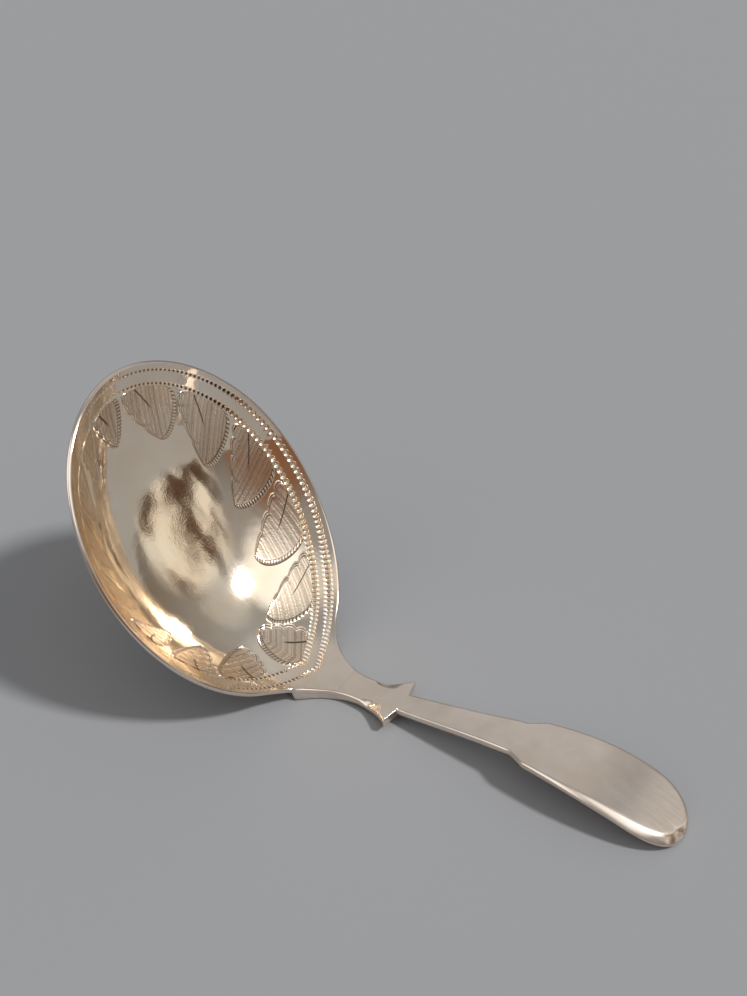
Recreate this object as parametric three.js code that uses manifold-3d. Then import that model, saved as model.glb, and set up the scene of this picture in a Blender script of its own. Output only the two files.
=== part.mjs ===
// Caddy spoon: an oval tea scoop on a short fiddle handle, standing as it rests on a table.
// Millimetres, +Z up, +X towards the handle tip, mirror-symmetrical across Y.
import * as THREE from 'three';
import Module from 'manifold-3d';

const wasm = await Module();
wasm.setup();
const { Manifold, Mesh } = wasm;

const degrees = THREE.MathUtils.degToRad;
const lerp = THREE.MathUtils.lerp;

// Bowl: the mouth is an oval tilted up at the front, and the well runs smoothly up to its rim
// At the handle the rim runs out in a short tail, which widens into the rim like a fillet
const BOWL_LENGTH = 52.2;
const BOWL_WIDTH = 40.6;
const MOUTH_TILT = degrees(55);
const RIM_DIP = 0.8;
const WELL_DEPTH = 11;
const WELL_FROM_HANDLE = 23;
const WELL_FULLNESS = 2.6;
const SHEET = 0.5;
const RIM_THICKNESS = 0.65;
const RIM_BAND = 0.12;
const RIM_ROUND = 0.2;
const TAIL_LENGTH = 5.6;
const TAIL_FILLET = 13.2;
const TAIL_FILLET_SPREAD = degrees(7.5);
const TAIL_FILLET_END = 0.44;
const BOWL_SIDES = 96;
const SIDES_CROWDING = 0.6;

// Solder film between the bowl's back and the handle's root
const SOLDER = 0.2;
const SOLDER_CLEARANCE = 0.05;

// Handle: distances along it are measured from the bowl's rim
const HANDLE_LENGTH = 59.8;
const HANDLE_THICKNESS = 1.4;
const ROOT_THICKNESS = 1.85;
const EDGE_CHAMFER = 0.3;
const ROOT_SLOPE = degrees(-5.5);
const TIP_SLOPE = degrees(-30);
const LAP = 6.4;
const LAP_RISE = degrees(9);
const ROOT_AT = 0.7;
const ROOT_HALF_WIDTH = 5.7;
const NECK_AT = 9;
const NECK_HALF_WIDTH = 2.25;
const SPUR_AT = 15.4;
const SPUR_HALF_WIDTH = 4.4;
const NOTCH_AT = 16.1;
const NOTCH_HALF_WIDTH = 1.7;
const STEM_END_AT = 35;
const STEM_END_HALF_WIDTH = 2.7;
const SHOULDER_AT = 37.6;
const SHOULDER_HALF_WIDTH = 3.9;
const FIDDLE_AT = 51;
const FIDDLE_HALF_WIDTH = 5.05;
const FLARE_CURVE = 2.2;
const END_SQUARENESS = 3;
const END_ROUNDNESS = 2.4;

// The root's underside is the flat heel, so the rim meets the handle at the root's thickness
const RIM_HEIGHT = ROOT_THICKNESS;

// Closed skin over a row of rings; the first and last ring are closed by a fan to their middle
function skin(rings) {
  const sides = rings[0].length;
  const points = rings.flat();
  const faces = [];
  for (let ring = 0; ring + 1 < rings.length; ring += 1) {
    for (let side = 0; side < sides; side += 1) {
      const here = ring * sides + side;
      const next = ring * sides + (side + 1) % sides;
      faces.push(here, next, next + sides);
      faces.push(here, next + sides, here + sides);
    }
  }
  const closeEnd = (ring, reversed) => {
    const middle = new THREE.Vector3();
    rings[ring].forEach((point) => middle.addScaledVector(point, 1 / sides));
    points.push(middle);
    for (let side = 0; side < sides; side += 1) {
      const here = ring * sides + side;
      const next = ring * sides + (side + 1) % sides;
      if (reversed) faces.push(next, here, points.length - 1);
      else faces.push(here, next, points.length - 1);
    }
  };
  closeEnd(0, true);
  closeEnd(rings.length - 1, false);
  const geometry = new THREE.BufferGeometry().setFromPoints(points);
  geometry.setIndex(faces);
  return geometry;
}

function toSolid(geometry) {
  const vertProperties = new Float32Array(geometry.attributes.position.array);
  const triVerts = new Uint32Array(geometry.index.array);
  return new Manifold(new Mesh({ numProp: 3, vertProperties, triVerts }));
}

function toGeometry(solid) {
  const mesh = solid.getMesh();
  const geometry = new THREE.BufferGeometry();
  geometry.setAttribute('position', new THREE.BufferAttribute(mesh.vertProperties, 3));
  geometry.setIndex(new THREE.BufferAttribute(mesh.triVerts, 1));
  return geometry;
}

// From the mouth's plane (distance from the handle end, sideways, depth below) to the standing spoon
function standing(along, sideways, depth) {
  return new THREE.Vector3(
    -along * Math.cos(MOUTH_TILT) - depth * Math.sin(MOUTH_TILT),
    sideways,
    RIM_HEIGHT + along * Math.sin(MOUTH_TILT) - depth * Math.cos(MOUTH_TILT),
  );
}

// How far below the mouth's plane the rim lies: its sides dip between front and handle
const rimDepth = (angle) => RIM_DIP * Math.sin(angle) ** 2;

// Inner surface: reach 0 is the deepest point and 1 the rim; angle 0 is the front, a half turn the handle
function insidePoint(reach, angle) {
  const rim = new THREE.Vector2(
    BOWL_LENGTH / 2 * (1 + Math.cos(angle)),
    BOWL_WIDTH / 2 * Math.sin(angle),
  );
  const place = new THREE.Vector2(WELL_FROM_HANDLE, 0).lerp(rim, reach);
  return standing(place.x, place.y, lerp(WELL_DEPTH, rimDepth(angle), reach ** WELL_FULLNESS));
}

// How far the rim reaches: 1 on the oval, and more on the tail by the handle
function rimReach(angle) {
  const fromHandle = Math.abs(angle - Math.PI);
  const fillet = TAIL_FILLET * Math.exp(-fromHandle / TAIL_FILLET_SPREAD) - TAIL_FILLET_END;
  const tail = THREE.MathUtils.clamp(fillet, 0, TAIL_LENGTH);
  return 1 + tail / Math.hypot(WELL_FROM_HANDLE, WELL_DEPTH * WELL_FULLNESS);
}

// Direction up the wall, and the direction out through the wall, at a place on the inside
function wallDirections(reach, angle) {
  const step = 0.01;
  const upWall = insidePoint(reach + step, angle).sub(insidePoint(reach - step, angle)).normalize();
  const around = insidePoint(reach, angle + step).sub(insidePoint(reach, angle - step));
  const outward = upWall.clone().cross(around).normalize();
  return { upWall, outward };
}

// Outer surface, grown by a gap for the pieces fitted against it
function outsidePoint(reach, angle, gap) {
  const thickening = THREE.MathUtils.clamp((reach - 1 + RIM_BAND) / RIM_BAND, 0, 1);
  const { upWall, outward } = wallDirections(reach, angle);
  const point = insidePoint(reach, angle);
  point.addScaledVector(outward, lerp(SHEET, RIM_THICKNESS, thickening) + gap);
  if (reach >= rimReach(angle)) point.addScaledVector(upWall, gap);
  return point;
}

function rimEdgePoint(angle, gap) {
  const { upWall, outward } = wallDirections(rimReach(angle), angle);
  const middle = insidePoint(rimReach(angle), angle).addScaledVector(outward, RIM_THICKNESS / 2);
  return middle.addScaledVector(upWall, RIM_ROUND + gap);
}

// Ring of points round the bowl, crowded at the handle, where the tail needs them
function ringOf(pointAt) {
  const ring = [];
  for (let side = 0; side < BOWL_SIDES; side += 1) {
    const turn = side * 2 * Math.PI / BOWL_SIDES;
    ring.push(pointAt(turn + SIDES_CROWDING * Math.sin(turn)));
  }
  return ring;
}

// Places across the wall, from near the deepest point out to the rim, closer together near it
const WALL_STEPS = 12;
const WALL_CROWDING = 0.8;
const WALL_SHARES = Array.from(
  { length: WALL_STEPS },
  (_, step) => ((step + 1) / WALL_STEPS) ** WALL_CROWDING,
);

// The tail draws out only the last of the wall
const TAIL_START = 8;
const wallReach = (share, angle) => share + (rimReach(angle) - 1) * share ** TAIL_START;
const wallRings = (pointAt) => {
  return WALL_SHARES.map((share) => ringOf((angle) => pointAt(wallReach(share, angle), angle)));
};

function bowlGeometry() {
  const inside = wallRings(insidePoint);
  const edge = ringOf((angle) => rimEdgePoint(angle, 0));
  const outside = wallRings((reach, angle) => outsidePoint(reach, angle, 0));
  return skin([...inside, edge, ...outside.reverse()]);
}

// Everything within the bowl's outer surface, grown by a gap and carried straight up past the rim
function bowlSpace(gap) {
  const outside = wallRings((reach, angle) => outsidePoint(reach, angle, gap));
  const edge = ringOf((angle) => rimEdgePoint(angle, gap));
  const above = ringOf((angle) => rimEdgePoint(angle, gap).setZ(RIM_HEIGHT + 2 * BOWL_LENGTH));
  return toSolid(skin([above, edge, ...outside.reverse()]));
}

// Height of the handle's upper face: dipping from the rim, arched and down to the tip
// Behind the rim the blank rises, so that the bowl cuts the lap to its own curve
function topHeight(along) {
  if (along < 0) return RIM_HEIGHT - along * Math.tan(LAP_RISE);
  const third = HANDLE_LENGTH / 3;
  const arch = new THREE.CubicBezierCurve(
    new THREE.Vector2(0, RIM_HEIGHT),
    new THREE.Vector2(third, RIM_HEIGHT + third * Math.tan(ROOT_SLOPE)),
    new THREE.Vector2(2 * third, HANDLE_THICKNESS - third * Math.tan(TIP_SLOPE)),
    new THREE.Vector2(HANDLE_LENGTH, HANDLE_THICKNESS),
  );
  return arch.getPoint(along / HANDLE_LENGTH).y;
}

// Stretches of the handle's outline, each from one place to the next with its half width
const lapStretch = (share) => ROOT_HALF_WIDTH * Math.sqrt(1 - (1 - share) ** 2);
const flareStretch = (share) => lerp(NECK_HALF_WIDTH, ROOT_HALF_WIDTH, (1 - share) ** FLARE_CURVE);
const spurStretch = (share) => lerp(NECK_HALF_WIDTH, SPUR_HALF_WIDTH, share ** 2);
const notchStretch = (share) => lerp(SPUR_HALF_WIDTH, NOTCH_HALF_WIDTH, share);
const stemStretch = (share) => lerp(NOTCH_HALF_WIDTH, STEM_END_HALF_WIDTH, share);
const shoulderStretch = (share) => lerp(STEM_END_HALF_WIDTH, SHOULDER_HALF_WIDTH, share);
const fiddleStretch = (share) => {
  return lerp(SHOULDER_HALF_WIDTH, FIDDLE_HALF_WIDTH, Math.sin(share * Math.PI / 2));
};
const endStretch = (share) => {
  return FIDDLE_HALF_WIDTH * (1 - share ** END_SQUARENESS) ** (1 / END_ROUNDNESS);
};
const OUTLINE = [
  { from: -LAP, to: ROOT_AT, halfWidth: lapStretch, steps: 6 },
  { from: ROOT_AT, to: NECK_AT, halfWidth: flareStretch, steps: 6 },
  { from: NECK_AT, to: SPUR_AT, halfWidth: spurStretch, steps: 5 },
  { from: SPUR_AT, to: NOTCH_AT, halfWidth: notchStretch, steps: 1 },
  { from: NOTCH_AT, to: STEM_END_AT, halfWidth: stemStretch, steps: 9 },
  { from: STEM_END_AT, to: SHOULDER_AT, halfWidth: shoulderStretch, steps: 1 },
  { from: SHOULDER_AT, to: FIDDLE_AT, halfWidth: fiddleStretch, steps: 6 },
  { from: FIDDLE_AT, to: HANDLE_LENGTH, halfWidth: endStretch, steps: 9 },
];

// The rounded ends stop just short of a point, which leaves a small flat
const END_FLAT = 0.012;

// Cross-section of the handle: flat above and below, with chamfered edges
// The lap's underside stays flat on the table, which makes the heel
function handleSection(along, halfWidth) {
  const top = topHeight(along);
  const taper = THREE.MathUtils.clamp(along / SPUR_AT, 0, 1);
  const thickness = lerp(ROOT_THICKNESS, HANDLE_THICKNESS, taper);
  const bottom = along < 0 ? 0 : Math.max(top - thickness, 0);
  const chamfer = Math.min(EDGE_CHAMFER, halfWidth / 2);
  const corners = [
    [halfWidth - chamfer, bottom], [halfWidth, bottom + chamfer],
    [halfWidth, top - chamfer], [halfWidth - chamfer, top],
    [chamfer - halfWidth, top], [-halfWidth, top - chamfer],
    [-halfWidth, bottom + chamfer], [chamfer - halfWidth, bottom],
  ];
  return corners.map(([sideways, height]) => new THREE.Vector3(along, sideways, height));
}

function handleBlank() {
  const sections = [];
  OUTLINE.forEach(({ from, to, halfWidth, steps }, stretch) => {
    for (let step = stretch === 0 ? 0 : 1; step <= steps; step += 1) {
      const share = THREE.MathUtils.clamp(step / steps, END_FLAT, 1 - END_FLAT);
      const exact = step === steps && stretch < OUTLINE.length - 1 ? 1 : share;
      sections.push(handleSection(lerp(from, to, exact), halfWidth(exact)));
    }
  });
  return toSolid(skin(sections));
}

// The handle's root is let in to the bowl's edge and laps under it, with room for the solder
function handleGeometry(blank) {
  const room = SOLDER + 2 * SOLDER_CLEARANCE;
  return toGeometry(blank.subtract(bowlSpace(room)));
}

function solderGeometry(blank) {
  const film = bowlSpace(SOLDER + SOLDER_CLEARANCE).subtract(bowlSpace(SOLDER_CLEARANCE));
  return toGeometry(film.intersect(blank));
}

function piece(name, geometry, settings) {
  geometry.computeVertexNormals();
  const mesh = new THREE.Mesh(geometry, new THREE.MeshStandardMaterial(settings));
  mesh.name = name;
  return mesh;
}

const spoon = new THREE.Group();
spoon.name = 'caddy_spoon';
const blank = handleBlank();
const silver = { color: 0xd8d4cc, metalness: 1, roughness: 0.2 };
spoon.add(piece('bowl', bowlGeometry(), { ...silver, color: 0xdfd0ab, roughness: 0.12 }));
spoon.add(piece('handle', handleGeometry(blank), silver));
spoon.add(piece('solder_seam', solderGeometry(blank), { ...silver, roughness: 0.35 }));

// The origin is under the middle of the whole spoon, on the table
const footprint = new THREE.Box3().setFromObject(spoon, true);
spoon.position.x = -(footprint.min.x + footprint.max.x) / 2;

export default spoon;
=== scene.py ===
import math

import bmesh
import bpy
from mathutils import Matrix, Vector
from mathutils.bvhtree import BVHTree


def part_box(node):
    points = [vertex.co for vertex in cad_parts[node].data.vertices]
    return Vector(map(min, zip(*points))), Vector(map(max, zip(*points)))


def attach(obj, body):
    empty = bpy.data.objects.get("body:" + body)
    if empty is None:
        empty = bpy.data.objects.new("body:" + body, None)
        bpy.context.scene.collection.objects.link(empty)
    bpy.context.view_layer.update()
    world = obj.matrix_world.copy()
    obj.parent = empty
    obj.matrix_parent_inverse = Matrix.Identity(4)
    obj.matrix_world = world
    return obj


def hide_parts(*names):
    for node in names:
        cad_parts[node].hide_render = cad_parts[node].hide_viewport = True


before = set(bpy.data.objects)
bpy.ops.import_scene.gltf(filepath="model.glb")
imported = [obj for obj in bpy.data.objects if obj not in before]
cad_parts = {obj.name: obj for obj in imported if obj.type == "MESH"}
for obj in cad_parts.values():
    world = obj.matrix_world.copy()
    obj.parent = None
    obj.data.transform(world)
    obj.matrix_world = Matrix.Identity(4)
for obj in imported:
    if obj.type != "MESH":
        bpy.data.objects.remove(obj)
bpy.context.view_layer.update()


# Bowl
# One sheet of silver raised into a deep oval scoop with a plain rim, drawn out at the handle in a
# short tail. Two rows of dots are punched round the inside, which has a thin gilt wash that use has
# worn pale; the rim and the outside are bare polished silver.
MM = 0.001
BOWL_LENGTH = 52.2 * MM
BOWL_WIDTH = 40.6 * MM
MOUTH_TILT = math.radians(55)
RIM_DIP = 0.8 * MM
RIM_HEIGHT = 1.85 * MM
RIM_BULGE = 0.5 * MM
WELL_DEPTH = 11 * MM
WELL_FROM_HANDLE = 23 * MM
WELL_FULLNESS = 2.6
SHEET = 0.5 * MM
RIM_THICKNESS = 0.65 * MM
RIM_BAND = 0.12
RIM_ROUND = 0.1 * MM
TAIL_LENGTH = 5.6 * MM
TAIL_FILLET = 13.2 * MM
TAIL_SPREAD = math.radians(7.5)
TAIL_END = 0.44 * MM
OUTER_LINE = 1.2 * MM
INNER_LINE = 3.5 * MM
LINE_DRIFT = 0.45 * MM
LINE_POINT = 1.9 * MM
LINE_SPREAD = math.radians(13)
DOT_PITCH = 0.74 * MM
DOT_ACROSS = 0.45 * MM
DOT_DEPTH = 0.3 * MM
DOT_BAND = 0.54 * MM
HANDLE_REACH = 59.7 * MM
RIM_END_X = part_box("handle")[1][0] - HANDLE_REACH


def mix(start, end, share):
    return start + (end - start) * share


def ease(start, end, value):
    """Smooth step from 0 at start to 1 at end."""
    share = min(max((value - start) / (end - start), 0), 1)
    return share * share * (3 - 2 * share)


def hump(angle, middle, spread):
    """Smooth hump of height 1 on the way round the bowl; its middle and spread are in degrees."""
    return math.exp(-((angle - math.radians(middle)) / math.radians(spread)) ** 2)


def well_point(reach, angle):
    """Inner surface: reach 0 is the deepest point and 1 the rim; angle 0 is the front.

    It was raised by hand, and is a little fuller on one side.
    """
    fuller = RIM_BULGE * hump(angle, 72, 28)
    rim_along = BOWL_LENGTH / 2 * (1 + math.cos(angle)) + fuller * math.cos(angle)
    along = mix(WELL_FROM_HANDLE, rim_along, reach)
    sideways = (BOWL_WIDTH / 2 + fuller) * math.sin(angle) * reach
    depth = mix(WELL_DEPTH, RIM_DIP * math.sin(angle) ** 2, reach ** WELL_FULLNESS)
    return Vector((
        RIM_END_X - along * math.cos(MOUTH_TILT) - depth * math.sin(MOUTH_TILT),
        sideways,
        RIM_HEIGHT + along * math.sin(MOUTH_TILT) - depth * math.cos(MOUTH_TILT),
    ))


def wall_directions(reach, angle):
    """Unit directions up the wall, round the bowl, and out through the wall."""
    step = 0.01
    reach = max(reach, 2 * step)
    up = (well_point(reach + step, angle) - well_point(reach - step, angle)).normalized()
    round_bowl = (well_point(reach, angle + step) - well_point(reach, angle - step)).normalized()
    return up, round_bowl, up.cross(round_bowl).normalized()


def wall_place(distance, angle):
    """Reach of the place that lies a distance down the wall from the oval."""
    step = 0.005
    reach = 1
    for share in (0.5, 1):
        climb = well_point(reach + step, angle) - well_point(reach - step, angle)
        reach = 1 - share * distance / (climb.length / (2 * step))
    return reach


def from_handle(angle):
    """Angle from the middle of the tail."""
    return abs(angle % (2 * math.pi) - math.pi)


def tail_length(angle):
    """How far the rim is drawn out past the oval."""
    fillet = TAIL_FILLET * math.exp(-from_handle(angle) / TAIL_SPREAD) - TAIL_END
    return min(max(fillet, 0), TAIL_LENGTH)


def rim_reach(angle):
    return 1 + tail_length(angle) / math.hypot(WELL_FROM_HANDLE, WELL_DEPTH * WELL_FULLNESS)


def line_distance(line, angle):
    """Distance of a row of dots from the oval.

    The rows drift a little on one side, and run to a point at the handle.
    """
    drift = LINE_DRIFT * hump(angle, 138, 22)
    return line + drift - LINE_POINT * math.exp(-from_handle(angle) / LINE_SPREAD)


def dot_pitch(angle):
    """The dots were punched by eye: wide apart on one side, and crowded as they near the handle."""
    wide = 0.42 * hump(angle, 88, 28)
    crowded = 0.1 * hump(angle, 165, 22)
    return DOT_PITCH * (1 + wide - crowded)


def dot_size(angle):
    """The dots are bold along one side, and rubbed nearly flat along the other."""
    turn = math.degrees(angle) % 360
    bold = ease(40, 68, turn) * (1 - ease(180, 194, turn))
    rubbed = ease(205, 230, turn) * (1 - ease(335, 355, turn))
    return 0.48 + 0.52 * bold - 0.22 * rubbed


def dot_painted_shade(angle):
    """The smaller dots, at the front and beside the handle, are painted dark: a painted reflection
    of dark surroundings.
    """
    turn = math.degrees(angle) % 360
    front = ease(2, 10, turn) * (1 - ease(58, 72, turn))
    beside_handle = ease(184, 190, turn) * (1 - ease(222, 245, turn))
    return front + beside_handle


def side_angle(side):
    """Angle of a side of the mesh; the sides lie closest along the bold dots."""
    turn = side * 2 * math.pi / SIDES
    return turn - 0.3 * math.sin(turn - math.radians(120))


def dot_phases(line):
    """Which dot, with its fraction, lies at each side of the bowl."""
    angles = [side_angle(side) for side in range(SIDES + 1)]
    points = [well_point(wall_place(line_distance(line, angle), angle), angle) for angle in angles]
    phases = [0.0]
    for angle, before, after in zip(angles, points, points[1:]):
        phases.append(phases[-1] + (after - before).length / dot_pitch(angle))
    fit = round(phases[-1]) / phases[-1]
    return [phase * fit for phase in phases]


def finish_layers(bm):
    """What the mesh tells its material: how gilded, how dulled and how darkened each place is;
    the darkening is partly tarnish, partly painted shade.
    """
    return [bm.verts.layers.float.new(name) for name in ("gilding", "hatching", "tarnish_and_shade")]


def finish_mesh(name, bm, materials, smooth_angle=40):
    """Closes a mesh and makes it a piece that rides with the spoon, smooth but for sharp edges."""
    bmesh.ops.remove_doubles(bm, verts=bm.verts, dist=1e-7)
    bmesh.ops.recalc_face_normals(bm, faces=bm.faces)
    mesh = bpy.data.meshes.new(name)
    bm.to_mesh(mesh)
    bm.free()
    for material in materials:
        mesh.materials.append(material)
    mesh.shade_smooth()
    mesh.set_sharp_from_angle(angle=math.radians(smooth_angle))
    piece = bpy.data.objects.new(name, mesh)
    bpy.context.scene.collection.objects.link(piece)
    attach(piece, "root")
    return piece


def linear(hex_colour):
    """sRGB hex to linear RGBA."""
    channels = [int(hex_colour[i:i + 2], 16) / 255 for i in (1, 3, 5)]
    return [c / 12.92 if c <= 0.04045 else ((c + 0.055) / 1.055) ** 2.4 for c in channels] + [1.0]


def add_node(tree, kind, settings=None, values=None, links=None):
    """Adds a node with its settings and socket values, and links its inputs."""
    node = tree.nodes.new(kind)
    for key, value in (settings or {}).items():
        setattr(node, key, value)
    for key, value in (values or {}).items():
        node.inputs[key].default_value = value
    for key, source in (links or {}).items():
        tree.links.new(source, node.inputs[key])
    return node


# Dints of the planishing hammer at their real size. The scratches of use and its specks are
# hundredths of a millimetre wide, too fine to show, so both are drawn coarser: the scratches as
# streaks stretched out of a 6 mm pattern to 0.4 mm across, the specks as pits of 0.3 mm.
DINT_SIZE = 2.4 * MM
STREAK_LENGTH = 6 * MM
STREAK_STRETCH = (1, 14, 2)
STREAK_TURN = (0.3, 0.5, 0.9)
SPECK_SIZE = 0.3 * MM
SPECK_DEPTH = 0.03 * MM


def worn_silver(name, bare, wash, patch, roughness, dint_depth, scratch_depth):
    """Silver with a drifting tone, faint hammer dints, fine scratches and the specks of use.

    The mesh says where it is gilded, where tarnish and painted shade darken a cut or a dot, and
    where hatching or use dulls it.
    """
    material = bpy.data.materials.new(name)
    material.use_nodes = True
    tree = material.node_tree
    shader = tree.nodes["Principled BSDF"]
    shader.inputs["Metallic"].default_value = 1.0
    place = add_node(tree, "ShaderNodeTexCoord").outputs["Object"]
    drift = add_node(tree, "ShaderNodeTexNoise", values={"Scale": 1 / patch, "Detail": 5.0},
                     links={"Vector": place})
    tones = []
    for low, high in (bare, wash):
        tone = add_node(tree, "ShaderNodeValToRGB", links={"Fac": drift.outputs["Fac"]})
        tone.color_ramp.elements[0].position = 0.35
        tone.color_ramp.elements[0].color = linear(low)
        tone.color_ramp.elements[1].position = 0.68
        tone.color_ramp.elements[1].color = linear(high)
        tones.append(tone.outputs["Color"])
    gilding = add_node(tree, "ShaderNodeAttribute", {"attribute_name": "gilding"})
    gilded = add_node(tree, "ShaderNodeMix", {"data_type": "RGBA"},
                      links={0: gilding.outputs["Fac"], 6: tones[0], 7: tones[1]})
    # Darkening by this attribute: real tarnish in the leaf cuts, and painted shade in the cuts, in
    # the gaps of the leaf borders and in the dots.
    tarnish_and_shade = add_node(tree, "ShaderNodeAttribute", {"attribute_name": "tarnish_and_shade"})
    stain_and_shade = add_node(tree, "ShaderNodeValToRGB", links={"Fac": tarnish_and_shade.outputs["Fac"]})
    stain_and_shade.color_ramp.elements[0].position = 0.45
    stain_and_shade.color_ramp.elements[0].color = linear("#8a5a30")
    stain_and_shade.color_ramp.elements[1].position = 0.9
    stain_and_shade.color_ramp.elements[1].color = linear("#20150d")
    darkened = add_node(tree, "ShaderNodeMix", {"data_type": "RGBA"},
                        links={0: tarnish_and_shade.outputs["Fac"], 6: gilded.outputs[2],
                               7: stain_and_shade.outputs["Color"]})
    tree.links.new(darkened.outputs[2], shader.inputs["Base Color"])

    drawn = add_node(tree, "ShaderNodeMapping",
                     values={"Rotation": STREAK_TURN, "Scale": STREAK_STRETCH},
                     links={"Vector": place})
    lines = add_node(tree, "ShaderNodeTexNoise",
                     values={"Scale": 1 / STREAK_LENGTH, "Detail": 1.0},
                     links={"Vector": drawn.outputs["Vector"]})
    hatching = add_node(tree, "ShaderNodeAttribute", {"attribute_name": "hatching"})
    polish = add_node(tree, "ShaderNodeMapRange",
                      values={"From Min": 0.4, "From Max": 0.75,
                              "To Min": roughness, "To Max": roughness * 1.2},
                      links={"Value": lines.outputs["Fac"]})
    dulled = add_node(tree, "ShaderNodeMath", {"operation": "MULTIPLY_ADD"}, {1: 0.2},
                      {0: hatching.outputs["Fac"], 2: polish.outputs["Result"]})
    tree.links.new(dulled.outputs["Value"], shader.inputs["Roughness"])

    hammered = add_node(tree, "ShaderNodeTexNoise", values={"Scale": 1 / DINT_SIZE, "Detail": 1.0},
                        links={"Vector": place})
    planished = add_node(tree, "ShaderNodeBump", values={"Strength": 1.0, "Distance": dint_depth},
                         links={"Height": hammered.outputs["Fac"]})
    scratched = add_node(tree, "ShaderNodeBump",
                         values={"Strength": 1.0, "Distance": scratch_depth},
                         links={"Height": lines.outputs["Fac"],
                                "Normal": planished.outputs["Normal"]})
    specks = add_node(tree, "ShaderNodeTexNoise", values={"Scale": 1 / SPECK_SIZE, "Detail": 1.0},
                      links={"Vector": place})
    pitted = add_node(tree, "ShaderNodeBump", values={"Distance": SPECK_DEPTH},
                      links={"Strength": hatching.outputs["Fac"], "Height": specks.outputs["Fac"],
                             "Normal": scratched.outputs["Normal"]})
    tree.links.new(pitted.outputs["Normal"], shader.inputs["Normal"])
    return material


# Raised and polished silver, washed with pale gold: a clear but slightly wavering mirror
SILVER_TONES = ("#e6d6c6", "#f3e6da")
GILT_TONES = ("#f4e0c5", "#fbefdc")
parcel_gilt = worn_silver("parcel_gilt_silver", SILVER_TONES, GILT_TONES, patch=9 * MM,
                          roughness=0.07, dint_depth=0.03 * MM, scratch_depth=0.002 * MM)

# The rows of the wall run from the deepest point up the inside, round the rim and down the
# outside. Inside they lie closer towards the dots, and on the tail towards both of its ends.
SIDES = 1152
STRETCH_ROWS = (24, 9, 3, 9, 4)
WELL_PULL = 1.6
TAIL_PULL = 3.2
EDGE_ROWS = (0, 0.07, 0.25, 0.5, 0.75, 0.93, 1)
OUTSIDE_ROWS = 14
rows = [(stretch, row / count) for stretch, count in enumerate(STRETCH_ROWS)
        for row in range(count)]
outer_dots = dot_phases(OUTER_LINE)
inner_dots = dot_phases(INNER_LINE)


def wall_marks(angle):
    """Reach of the deepest point, of both edges of each row of dots, and of the rim."""
    inner, outer = line_distance(INNER_LINE, angle), line_distance(OUTER_LINE, angle)
    bands = [inner + DOT_BAND, inner - DOT_BAND, outer + DOT_BAND, outer - DOT_BAND]
    return [0] + [wall_place(distance, angle) for distance in bands] + [rim_reach(angle)]


def dot_depth(phase, offset, angle):
    """Depth of a dot at a place in its row: a round dent, or a short flat bar near the handle."""
    size, turn = dot_size(angle), math.degrees(angle)
    barred = ease(120, 150, turn) * (1 - ease(176, 186, turn))
    along = (phase - round(phase)) / ((0.43 - 0.05 * barred) * math.sqrt(size))
    across = offset / (DOT_ACROSS * size * (1 + 0.16 * barred))
    hollow = max(0, 1 - along ** 2 - abs(across) ** (2 + 2 * barred))
    return DOT_DEPTH * (1 - 0.5 * barred) * size * hollow


def bowl_place(row, side, marks):
    """Where a wall point lies, how gilded and dulled by use it is, and how dark its dot is painted.
    """
    angle = side_angle(side)
    if row < len(rows):
        stretch, share = rows[row]
        if stretch == 0:
            share = 1 - (1 - share) ** WELL_PULL
        elif stretch == len(STRETCH_ROWS) - 1:
            pull = 1 + TAIL_PULL * tail_length(angle) / TAIL_LENGTH
            share = (2 * share) ** pull / 2 if share < 0.5 else 1 - (2 - 2 * share) ** pull / 2
        reach = mix(marks[stretch], marks[stretch + 1], share)
        dent = 0
        if stretch in (1, 3):
            phases = inner_dots if stretch == 1 else outer_dots
            dent = dot_depth(phases[side], mix(DOT_BAND, -DOT_BAND, share), angle)
        gilding = 1 - 0.55 * ease(0.86, 1, reach) - 0.45 * ease(1, 1.1, reach)
        dulled = 0.25 - 0.25 * ease(0.35, 0.75, reach) + 0.4 * ease(1, 1.12, reach)
        # Painted shade: the smaller dots are coloured dark for the dark surroundings they mirror.
        dirt_and_shade = 0.95 * dot_painted_shade(angle) * min(1, 2 * dent / (DOT_DEPTH * dot_size(angle)))
        outward = wall_directions(reach, angle)[2]
        return well_point(reach, angle) + outward * dent, (gilding, dulled, dirt_and_shade)
    edge = row - len(rows)
    if edge < len(EDGE_ROWS):
        out, reach = EDGE_ROWS[edge], marks[-1]
        up, _, outward = wall_directions(reach, angle)
        swell = RIM_ROUND * (1 - abs(2 * out - 1) ** 3)
        return well_point(reach, angle) + outward * RIM_THICKNESS * out + up * swell, (0, 0, 0)
    reach = marks[-1] * (1 - (edge - len(EDGE_ROWS) + 1) / OUTSIDE_ROWS)
    thickening = min(max((reach - 1 + RIM_BAND) / RIM_BAND, 0), 1)
    outward = wall_directions(reach, angle if reach > 0 else 0)[2]
    return well_point(reach, angle) + outward * mix(SHEET, RIM_THICKNESS, thickening), (0, 0, 0)


bm = bmesh.new()
layers = finish_layers(bm)
row_count = len(rows) + len(EDGE_ROWS) + OUTSIDE_ROWS
bmesh.ops.create_grid(bm, x_segments=row_count - 1, y_segments=SIDES, size=1)
all_marks = [wall_marks(side_angle(side)) for side in range(SIDES)]
for vert in bm.verts:
    row = round((vert.co.x + 1) / 2 * (row_count - 1))
    side = round((vert.co.y + 1) / 2 * SIDES) % SIDES
    vert.co, finish = bowl_place(row, side, all_marks[side])
    for layer, value in zip(layers, finish):
        vert[layer] = value
bowl_tree = BVHTree.FromBMesh(bm)
bowl = finish_mesh("raised_bowl", bm, [parcel_gilt], smooth_angle=60)
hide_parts("bowl")
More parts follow.
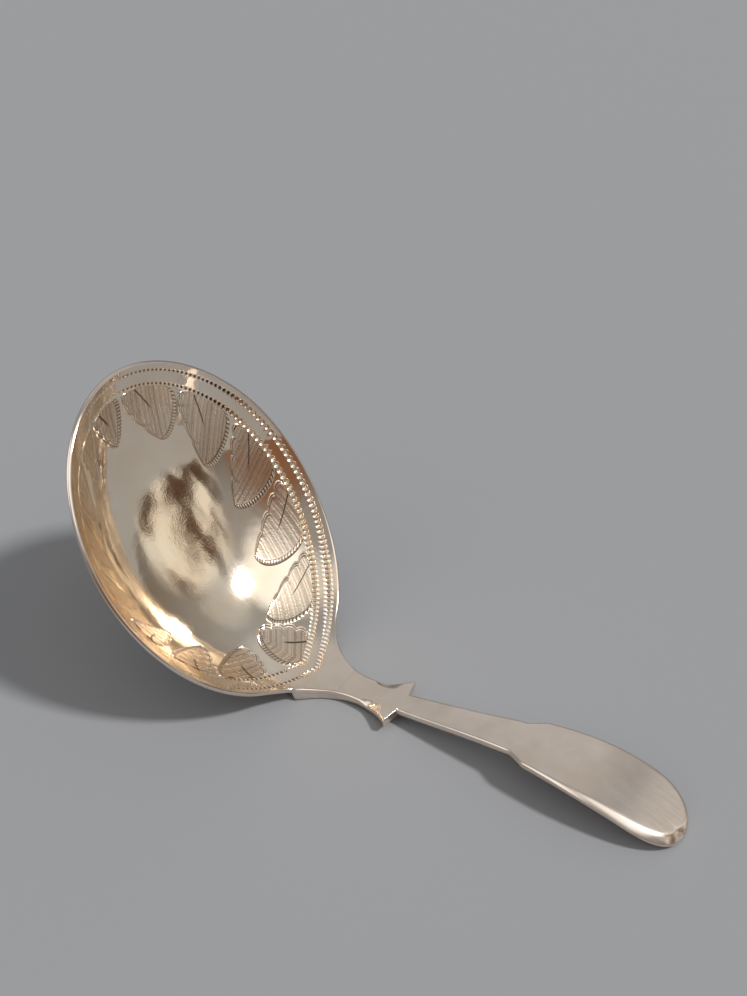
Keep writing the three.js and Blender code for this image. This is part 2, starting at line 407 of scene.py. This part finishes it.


# Engraved leaves
# Pointed leaves cut into the inside of the bowl below the dots, with their tips towards the handle.
# Each has one lobed edge drawn with two lines, one plain edge crossed by short strokes,
# a bent midrib, and a field dulled by fine hatching. The deeper cuts, the hatching and the
# gaps of the border are darkened: partly tarnish, partly painted shade of their depth.
LEAF_GAP = 0.35 * MM
LEAF_MARGIN = 0.3 * MM
LEAF_LIFT = 0.045 * MM
LEAF_SINK = 0.03 * MM
LEAF_RISE = 0.12 * MM
LEAF_EDGE = 0.08 * MM
LEAF_BACK = 0.2 * MM
BORDER = 0.84 * MM
BORDER_LINE = 0.15 * MM
LINE_HEIGHT = 0.07 * MM
STROKE_HALF = 0.15 * MM
STROKE_DEPTH = 0.036 * MM
BAR_PITCH = 0.58 * MM
BAR_HEIGHT = 0.08 * MM
LOBES = 4
LOBE_STROKE = 2.2 * MM
RIB_SHARE = 0.5
RIB_HALF = 0.2 * MM
# The finest lines of the hatching are too fine to show, so all of it is drawn this coarse
HATCH_DEPTH = 0.026 * MM
ACROSS_PITCH = 0.55 * MM
ALONG_PITCH = 0.42 * MM
# Where each leaf starts and how far its tip leans round, in degrees, its half width and length
LEAVES = [
    (-6, 2, 3.1, 7.8), (20.5, 9.5, 5.1, 8.8), (51, 11.5, 5.1, 9.2), (79.5, 13, 5.3, 8.8),
    (108, 20, 5.4, 8.6), (139, 27, 5.0, 7.6), (175, 3, 3.9, 8.6), (211, -14, 4.2, 6.8),
    (236, -14, 3.6, 6.6), (258, -15, 3.2, 6.2), (279, -14, 3.2, 6.4), (299, -12, 3.2, 6.6),
    (319, -9, 3.1, 7.0), (337, -6, 2.5, 7.2),
]
# Which leaves are hatched across their length, rubbed by use, and less darkened in their hatching
ACROSS_HATCHED = (5, 6, 7, 8, 9, 10)
RUBBED = (11, 12, 13, 14)
LESS_DARKENED = (5, 6)


def leaf_half(share, side):
    """Half width along a leaf, as a share of its widest: broad at the dots, pointed at the tip."""
    half = share ** 0.12 * (1 - share) ** 0.62 / 0.719
    if side < 0:
        half *= 1 - 0.13 * (1 - abs(math.sin(LOBES * math.pi * share))) ** 1.5
    return half


def leaf_place(start, lean, drop, share, across):
    """Reach and angle of a place on a leaf, given along its leaning middle line and across it."""
    step = 0.01
    middle = start + lean * share ** 1.2
    angle = middle
    for _ in range(2):
        reach = wall_place(line_distance(INNER_LINE, angle) + LEAF_GAP + drop * share, angle)
        around = well_point(reach, angle + step) - well_point(reach, angle - step)
        angle = middle + across / (around.length / (2 * step))
    return wall_place(line_distance(INNER_LINE, angle) + LEAF_GAP + drop * share, angle), angle


def groove(offset, half, depth):
    return depth * max(0, 1 - (offset / half) ** 2)


def leaf_border(across, half, bars):
    """Height of the bright border: two lines on the lobed edge, a row of bars on the plain one."""
    inset = half - abs(across)
    if across < 0:
        return max(groove(inset - line, BORDER_LINE, LINE_HEIGHT)
                   for line in (BORDER / 4, 3 * BORDER / 4))
    domed = groove(bars - math.floor(bars) - 0.5, 0.36, 1)
    return domed * groove(inset - BORDER / 2, 0.46 * BORDER, BAR_HEIGHT)


def leaf_strokes(share, across, half, widest, drop):
    """Depth of the bold strokes: the midrib, and one stroke running in between each two lobes."""
    cut = 0
    inward = (half - abs(across) - BORDER) / LOBE_STROKE
    if across < 0 and 0 < inward < 1:
        depth = 0.4 * STROKE_DEPTH * min(1, 2 * (1 - inward))
        for lobe in range(1, LOBES):
            bend = share - lobe / LOBES + 0.1 * inward ** 1.5
            cut += groove(bend * drop, STROKE_HALF, depth)
    if 0.02 < share < RIB_SHARE:
        to_end = 1 - share / RIB_SHARE
        depth = STROKE_DEPTH * min(1, 3 * to_end)
        cut += groove(across + 0.45 * widest * to_end ** 1.3, RIB_HALF, depth)
    return cut


def leaf_hatching(share, across, half, drop, hatched_across):
    """Depth of the fine, uneven lines that fill a leaf."""
    if hatched_across:
        phase = (drop * share + 0.25 * across) / ACROSS_PITCH
    else:
        phase = (across + 0.12 * drop * share) / ALONG_PITCH
    wander = 0.25 * math.sin(3.1 * phase) + 0.2 * math.sin(0.73 * phase)
    lines = 0.5 + 0.5 * math.sin(2 * math.pi * (phase + wander))
    return HATCH_DEPTH * lines * ease(BORDER, BORDER + 0.3 * MM, half - abs(across))


def bar_phases(widest, drop, shares):
    """Which bar, with its fraction, lies beside each place along the plain edge of a leaf."""
    edge = [Vector((drop * share, widest * leaf_half(share, 1))) for share in shares]
    phases = [0.0]
    for before, after in zip(edge, edge[1:]):
        phases.append(phases[-1] + (after - before).length / BAR_PITCH)
    return phases


ALONG_STEPS, ACROSS_STEPS = 140, 100
shares = [(1 - math.cos(math.pi * step / ALONG_STEPS)) / 2 for step in range(ALONG_STEPS + 1)]
for number, (start, lean, widest, drop) in enumerate(LEAVES, 1):
    start, lean, widest, drop = math.radians(start), math.radians(lean), widest * MM, drop * MM
    bars = bar_phases(widest, drop, shares)
    left = 0.4 if number in RUBBED else 1
    dirt_and_shade = 0.6 if number in LESS_DARKENED else 1
    bm = bmesh.new()
    layers = finish_layers(bm)
    bmesh.ops.create_grid(bm, x_segments=ALONG_STEPS, y_segments=ACROSS_STEPS, size=1)
    back = bmesh.ops.extrude_face_region(bm, geom=bm.faces[:])["geom"]
    back = [g for g in back if isinstance(g, bmesh.types.BMVert)]
    bmesh.ops.translate(bm, verts=back, vec=(0, 0, -1))
    places = {}
    for vert in bm.verts:
        step = round((vert.co.x + 1) / 2 * ALONG_STEPS)
        column = round((vert.co.y + 1) / 2 * ACROSS_STEPS)
        half = widest * leaf_half(shares[step], 1 if vert.co.y >= 0 else -1)
        across = vert.co.y * (half + LEAF_MARGIN)
        if (step, column) not in places:
            reach, angle = leaf_place(start, lean, drop, shares[step], across)
            places[step, column] = well_point(reach, angle), wall_directions(reach, angle)[2]
        point, outward = places[step, column]
        inset = half - abs(across)
        border = leaf_border(across, half, bars[step])
        bold = leaf_strokes(shares[step], across, half, widest, drop)
        hatch = leaf_hatching(shares[step], across, half, drop, number in ACROSS_HATCHED)
        height = mix(-LEAF_SINK, LEAF_LIFT * left, ease(-LEAF_RISE, LEAF_RISE, inset))
        height += left * (border - max(bold, hatch))
        if vert.co.z < -0.5:
            height = -LEAF_BACK
        elif step in (0, ALONG_STEPS) or column in (0, ACROSS_STEPS):
            height = -LEAF_EDGE
        field = ease(BORDER - 0.1 * MM, BORDER + 0.2 * MM, inset)
        edge = ease(0, 0.15 * MM, inset) * (1 - field)
        # The strokes, the gaps of the border and the hatching are darkened by depth: partly
        # tarnish, partly painted shade.
        in_strokes = 0.9 * min(1, 1.5 * bold / STROKE_DEPTH)
        in_border = 0.8 * edge * (1 - min(1, 2 * border / BAR_HEIGHT))
        in_hatching = dirt_and_shade * (0.14 * field + 0.42 * hatch / HATCH_DEPTH)
        tarnish_and_shade = left * max(in_strokes, in_border, in_hatching)
        for layer, value in zip(layers, (mix(0.6, 1, field), left * field, tarnish_and_shade)):
            vert[layer] = value
        vert.co = point - outward * height
    leaf = finish_mesh(f"engraved_leaf_{number:02d}", bm, [parcel_gilt], smooth_angle=80)


# Handle
# One bar of silver forged flat into a short fiddle pattern: a flared root that laps under the bowl,
# pointed spurs with notches behind them, a plain stem, squared shoulders and a rounded end.
# Its arrises are eased with a file; use has worn one side of the end nearly round.
HANDLE_THICKNESS = 1.4 * MM
ROOT_THICKNESS = 1.85 * MM
HANDLE_LENGTH = 59.8 * MM
ROOT_SLOPE = math.tan(math.radians(-5.5))
TIP_SLOPE = math.tan(math.radians(-30))
LAP = 6.4 * MM
ROOT_AT, ROOT_HALF = 0.7 * MM, 5.7 * MM
NECK_AT, NECK_HALF = 9 * MM, 2.25 * MM
SPUR_AT, SPUR_HALF = 15.4 * MM, 4.4 * MM
NOTCH_AT, NOTCH_HALF = 16.1 * MM, 1.7 * MM
STEM_END_AT, STEM_END_HALF = 35 * MM, 2.7 * MM
SHOULDER_AT, SHOULDER_HALF = 37.6 * MM, 3.9 * MM
FIDDLE_AT, FIDDLE_HALF = 51 * MM, 5.05 * MM
END_ALONG, END_ACROSS = 3, 2.4
# The fiddle was filed by eye and is fuller on one side, which fades out at the tip
FULLER_SIDE = 0.45 * MM
FULLER_FROM, FULLER_TO, FULLER_FADE = 27 * MM, 36 * MM, 54 * MM
SOLDER_ROOM = 0.3 * MM
SOLDER_MARGIN = 0.7 * MM
RUN_OUT_FROM, RUN_OUT_TO = 5.5 * MM, 12 * MM
FILED_FROM, RIDGE_AT = 9.5 * MM, 13.6 * MM
ARRIS = 0.18 * MM
WORN_ARRIS = 0.7 * MM
WORN_UNDER = 0.4 * MM
WORN_FROM, WORN_TO = 37 * MM, 54 * MM
ROOT_ARRIS = 0.7 * MM
ROLL = 2.2


def top_height(along):
    """Height of the handle's upper face, a curve with its slopes given at root and tip."""
    third, share = HANDLE_LENGTH / 3, max(along, 0) / HANDLE_LENGTH
    rest = 1 - share
    heights = (RIM_HEIGHT, RIM_HEIGHT + third * ROOT_SLOPE,
               HANDLE_THICKNESS - third * TIP_SLOPE, HANDLE_THICKNESS)
    weights = (rest ** 3, 3 * share * rest ** 2, 3 * share ** 2 * rest, share ** 3)
    return sum(height * weight for height, weight in zip(heights, weights))


# Each stretch of the outline: where it starts and ends, its half width along it, its steps
STRETCHES = [
    (-LAP, ROOT_AT, lambda s: ROOT_HALF * (1 - (1 - s) ** 2) ** 0.75, 26),
    (ROOT_AT, NECK_AT, lambda s: mix(NECK_HALF, ROOT_HALF, (1 - s) ** 2.2), 26),
    (NECK_AT, SPUR_AT, lambda s: mix(NECK_HALF, SPUR_HALF, s ** 2), 24),
    (SPUR_AT, NOTCH_AT, lambda s: mix(SPUR_HALF, NOTCH_HALF, s), 4),
    (NOTCH_AT, STEM_END_AT, lambda s: mix(NOTCH_HALF, STEM_END_HALF, s), 24),
    (STEM_END_AT, SHOULDER_AT, lambda s: mix(STEM_END_HALF, SHOULDER_HALF, s), 5),
    (SHOULDER_AT, FIDDLE_AT,
     lambda s: mix(SHOULDER_HALF, FIDDLE_HALF, math.sin(s * math.pi / 2)), 24),
    (FIDDLE_AT, HANDLE_LENGTH,
     lambda s: FIDDLE_HALF * (1 - s ** END_ALONG) ** (1 / END_ACROSS), 36),
]
stations = []
for start, end, half_width, steps in STRETCHES:
    for step in range(0 if not stations else 1, steps + 1):
        share = step / steps
        if start == -LAP:
            share = max(share ** 2, 0.0005)
        if end == HANDLE_LENGTH:
            share = min(1 - (1 - share) ** 2, 0.9999)
        stations.append((mix(start, end, share), half_width(share)))

# The bowl's inner surface carried on past the rim, which the top of the neck follows
bm = bmesh.new()
bmesh.ops.create_grid(bm, x_segments=40, y_segments=40, size=1)
for vert in bm.verts:
    vert.co = well_point(1.2 + 0.4 * vert.co.x, math.pi + 0.9 * vert.co.y)
run_out_tree = BVHTree.FromBMesh(bm)
bm.free()
DOWN, UP = Vector((0, 0, -1)), Vector((0, 0, 1))


def bowl_underside(point):
    """Height of the bowl's back over a point, or nothing where the bowl doesn't cover it."""
    hit = bowl_tree.ray_cast(Vector((point.x, point.y, -5 * MM)), UP)[0]
    return hit.z if hit and hit.z < 10 * MM else None


def upper_face(along, sideways):
    """Height of the top at a place: flush with the bowl's tail, and filed at the spurs."""
    height = top_height(along)
    point = Vector((RIM_END_X + along, sideways, 10 * MM))
    if along < RUN_OUT_TO:
        near = [bowl_underside(point + Vector((dx, dy, 0)) * SOLDER_MARGIN)
                for dx, dy in ((0, 0), (1, 0), (-1, 0), (0, 1), (0, -1))]
        if None not in near:
            return near[0] - SOLDER_ROOM
        run_out = run_out_tree.ray_cast(point, DOWN)[0]
        if run_out:
            flush = run_out.z - 0.02 * MM
            height = mix(flush, height, ease(RUN_OUT_FROM, RUN_OUT_TO, along))
    if along < SPUR_AT:
        ridge = RIDGE_AT + 0.4 * (abs(sideways) - 2 * MM)
        filed = 0.2 * max(ridge - along, 0) * ease(FILED_FROM, RUN_OUT_TO, along)
        height -= filed * ease(1.5 * MM, 2.4 * MM, abs(sideways))
    return height


def to_outline(along, reach, half_width):
    """Distance from the outline of a place at a share of the half width, square to its curve."""
    length = HANDLE_LENGTH - FIDDLE_AT
    end = max(0, (along - FIDDLE_AT) / length)
    widest = FIDDLE_HALF if end else half_width
    spread = reach * half_width / widest
    slope = math.hypot(END_ALONG * end ** (END_ALONG - 1) / length,
                       END_ACROSS * spread ** (END_ACROSS - 1) / widest)
    inside = max(0, 1 - end ** END_ALONG - spread ** END_ACROSS)
    return min(half_width, inside / max(slope, 1))


# Hand-worn silver: a satin of fine scratches over a bright metal
hand_worn = worn_silver("hand_worn_silver", SILVER_TONES, SILVER_TONES, patch=6 * MM,
                        roughness=0.19, dint_depth=0.014 * MM, scratch_depth=0.0006 * MM)

# Once round the section: the top, an eased arris, a side, its lower arris and the underside,
# each place with the turn of its arris and its share of the flat
TOP_STEPS, ARRIS_STEPS, UNDER_STEPS = 14, 6, 5
arris_turns = [step / ARRIS_STEPS for step in range(ARRIS_STEPS + 1)]
half_round = [(0.0, step / TOP_STEPS, "top") for step in range(TOP_STEPS + 1)]
half_round += [(turn * math.pi / 2, 1.0, "top") for turn in arris_turns[1:]]
half_round += [((1 - turn) * math.pi / 2, 1.0, "under") for turn in arris_turns]
half_round += [(0.0, 1 - step / UNDER_STEPS, "under") for step in range(1, UNDER_STEPS + 1)]
ring = [(1, *place) for place in half_round] + [(-1, *place) for place in half_round[-2:0:-1]]

bm = bmesh.new()
bmesh.ops.create_grid(bm, x_segments=len(stations) - 1, y_segments=len(ring), size=1)
for vert in bm.verts:
    along, drawn_half = stations[round((vert.co.x + 1) / 2 * (len(stations) - 1))]
    side, turn, flat, face = ring[round((vert.co.y + 1) / 2 * len(ring)) % len(ring)]
    half_width = drawn_half
    if side > 0:
        half_width += (FULLER_SIDE * ease(FULLER_FROM, FULLER_TO, along)
                       * (1 - ease(FULLER_FADE, HANDLE_LENGTH, along)))
    worn_side = 1 - ease(-2 * MM, 3 * MM, side * flat * half_width)
    worn = ease(WORN_FROM, WORN_TO, along) * worn_side
    arris = mix(ARRIS, WORN_ARRIS if face == "top" else WORN_UNDER, worn)
    if face == "under":
        arris = mix(ROOT_ARRIS, arris, ease(-4 * MM, 3 * MM, along))
    eased = min(ROLL * arris, half_width * 0.8)
    sideways = side * (flat * (half_width - eased) + eased * math.sin(turn))
    edge = to_outline(along, abs(sideways) / half_width, drawn_half)
    fall = arris * max(0, 1 - edge / (ROLL * arris)) ** ROLL
    thickness = mix(ROOT_THICKNESS, HANDLE_THICKNESS, min(max(along / SPUR_AT, 0), 1))
    under = max(top_height(along) - thickness, 0) if along > 0 else 0
    height = upper_face(along, sideways) - fall if face == "top" else under + fall
    vert.co = Vector((RIM_END_X + along, sideways, height))
bmesh.ops.remove_doubles(bm, verts=bm.verts, dist=1e-7)
bmesh.ops.holes_fill(bm, edges=[e for e in bm.edges if e.is_boundary], sides=0)
handle = finish_mesh("fiddle_handle", bm, [hand_worn], smooth_angle=50)
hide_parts("handle")


# Solder seam
# A film of silver solder that ran between the bowl's back and the handle's root and was filed
# flush. Only its thin edge shows, a little greyer and duller than the silver beside it.
SOLDER_TONES = ("#cac1b5", "#dad3c7")
solder = worn_silver("filed_silver_solder", SOLDER_TONES, SOLDER_TONES, patch=2 * MM,
                     roughness=0.28, dint_depth=0.01 * MM, scratch_depth=0.004 * MM)
for material_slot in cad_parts["solder_seam"].material_slots:
    material_slot.material = solder


# Stage, light and camera
# A plain table, one soft key light from over the handle's end, the studio that the silver
# mirrors, and the photograph's viewpoint.
bm = bmesh.new()
bmesh.ops.create_grid(bm, x_segments=1, y_segments=1, size=2)
floor_mesh = bpy.data.meshes.new("table_top")
bm.to_mesh(floor_mesh)
bm.free()
floor = bpy.data.objects.new("table_top", floor_mesh)
bpy.context.scene.collection.objects.link(floor)
# Painted board: an even matt grey that takes the shadow
pale = bpy.data.materials.new("pale_matt_board")
pale.use_nodes = True
board = pale.node_tree.nodes["Principled BSDF"]
board.inputs["Base Color"].default_value = linear("#8a8b8d")
board.inputs["Roughness"].default_value = 0.9
floor_mesh.materials.append(pale)

lamp_data = bpy.data.lights.new("soft_key", "SUN")
lamp_data.angle = math.radians(6.7)
lamp_data.energy = 2.7
lamp = bpy.data.objects.new("soft_key", lamp_data)
lamp.rotation_euler = Vector((0.76, 0.19, 1)).to_track_quat("Z", "Y").to_euler()
bpy.context.scene.collection.objects.link(lamp)

# The studio round the table: walls that are paler above, and a corner of blotches facing the bowl
world = bpy.data.worlds.new("studio")
world.use_nodes = True
bpy.context.scene.world = world
sky = world.node_tree
direction = add_node(sky, "ShaderNodeTexCoord").outputs["Generated"]
height = add_node(sky, "ShaderNodeSeparateXYZ", links={"Vector": direction}).outputs["Z"]
walls = add_node(sky, "ShaderNodeValToRGB", links={"Fac": height})
walls.color_ramp.elements[0].position = 0.0
walls.color_ramp.elements[0].color = linear("#8b837a")
walls.color_ramp.elements[1].position = 0.55
walls.color_ramp.elements[1].color = linear("#bdbec1")
blotches = add_node(sky, "ShaderNodeTexNoise", values={"Scale": 4.5, "Detail": 2.0},
                    links={"Vector": direction})
things = add_node(sky, "ShaderNodeValToRGB", links={"Fac": blotches.outputs["Fac"]})
things.color_ramp.elements[0].position = 0.45
things.color_ramp.elements[0].color = linear("#5f4129")
things.color_ramp.elements[1].position = 0.54
things.color_ramp.elements[1].color = [1.5 * channel for channel in linear("#f4eee4")]

# That corner, a plain warm one, and four soft screens: the direction of each, the cosines at which
# it begins and is full, and what it shows
ZONES = [
    ((0.9, 0.32, 0.12), (0.8, 0.95), {"links": {7: things.outputs["Color"]}}),
    ((0.62, -0.77, 0.1), (0.86, 0.97), {"values": {7: linear("#a0765a")}}),
    ((-0.36, 0.53, 0.77), (0.84, 0.96), {"values": {7: (0.8, 0.8, 0.8, 1)}}),
    ((0.36, -0.28, 0.89), (0.85, 0.97), {"values": {7: (1.9, 1.9, 1.9, 1)}}),
    ((0.52, 0.5, 0.69), (0.93, 0.99), {"values": {7: (0.75, 0.75, 0.75, 1)}}),
    ((-0.4, -0.6, 0.69), (0.9, 0.98), {"values": {7: (1.9, 1.9, 1.9, 1)}}),
]
colour = walls.outputs["Color"]
for middle, (begins, full), shows in ZONES:
    facing = add_node(sky, "ShaderNodeVectorMath", {"operation": "DOT_PRODUCT"},
                      {1: Vector(middle).normalized()}, {0: direction})
    share = add_node(sky, "ShaderNodeMapRange", {"interpolation_type": "SMOOTHSTEP"},
                     {"From Min": begins, "From Max": full}, {"Value": facing.outputs["Value"]})
    lit = add_node(sky, "ShaderNodeMix", {"data_type": "RGBA"}, **shows)
    sky.links.new(share.outputs["Result"], lit.inputs[0])
    sky.links.new(colour, lit.inputs[6])
    colour = lit.outputs[2]
sky.links.new(colour, sky.nodes["Background"].inputs["Color"])
sky.nodes["Background"].inputs["Strength"].default_value = 0.63

AZIMUTH = math.radians(36.7)
ELEVATION = math.radians(39.96)
CAMERA_ROLL = math.radians(-5.42)
DISTANCE = 255.6 * MM
AIM = Vector((RIM_END_X - 14.69 * MM, 38.8 * MM, 0))
SENSOR = 36
FOCAL_PIXELS, FRAME_PIXELS = 1496, 996
turn = (Matrix.Rotation(AZIMUTH, 4, "Z") @ Matrix.Rotation(math.pi / 2 - ELEVATION, 4, "X")
        @ Matrix.Rotation(CAMERA_ROLL, 4, "Z"))
camera_data = bpy.data.cameras.new("camera")
camera_data.sensor_width = SENSOR
camera_data.lens = SENSOR * FOCAL_PIXELS / FRAME_PIXELS
camera_data.clip_start = 0.01
camera = bpy.data.objects.new("camera", camera_data)
camera.matrix_world = Matrix.Translation(AIM) @ turn @ Matrix.Translation((0, 0, DISTANCE))
bpy.context.scene.collection.objects.link(camera)
bpy.context.scene.camera = camera
bpy.context.scene.view_settings.view_transform = "Standard"
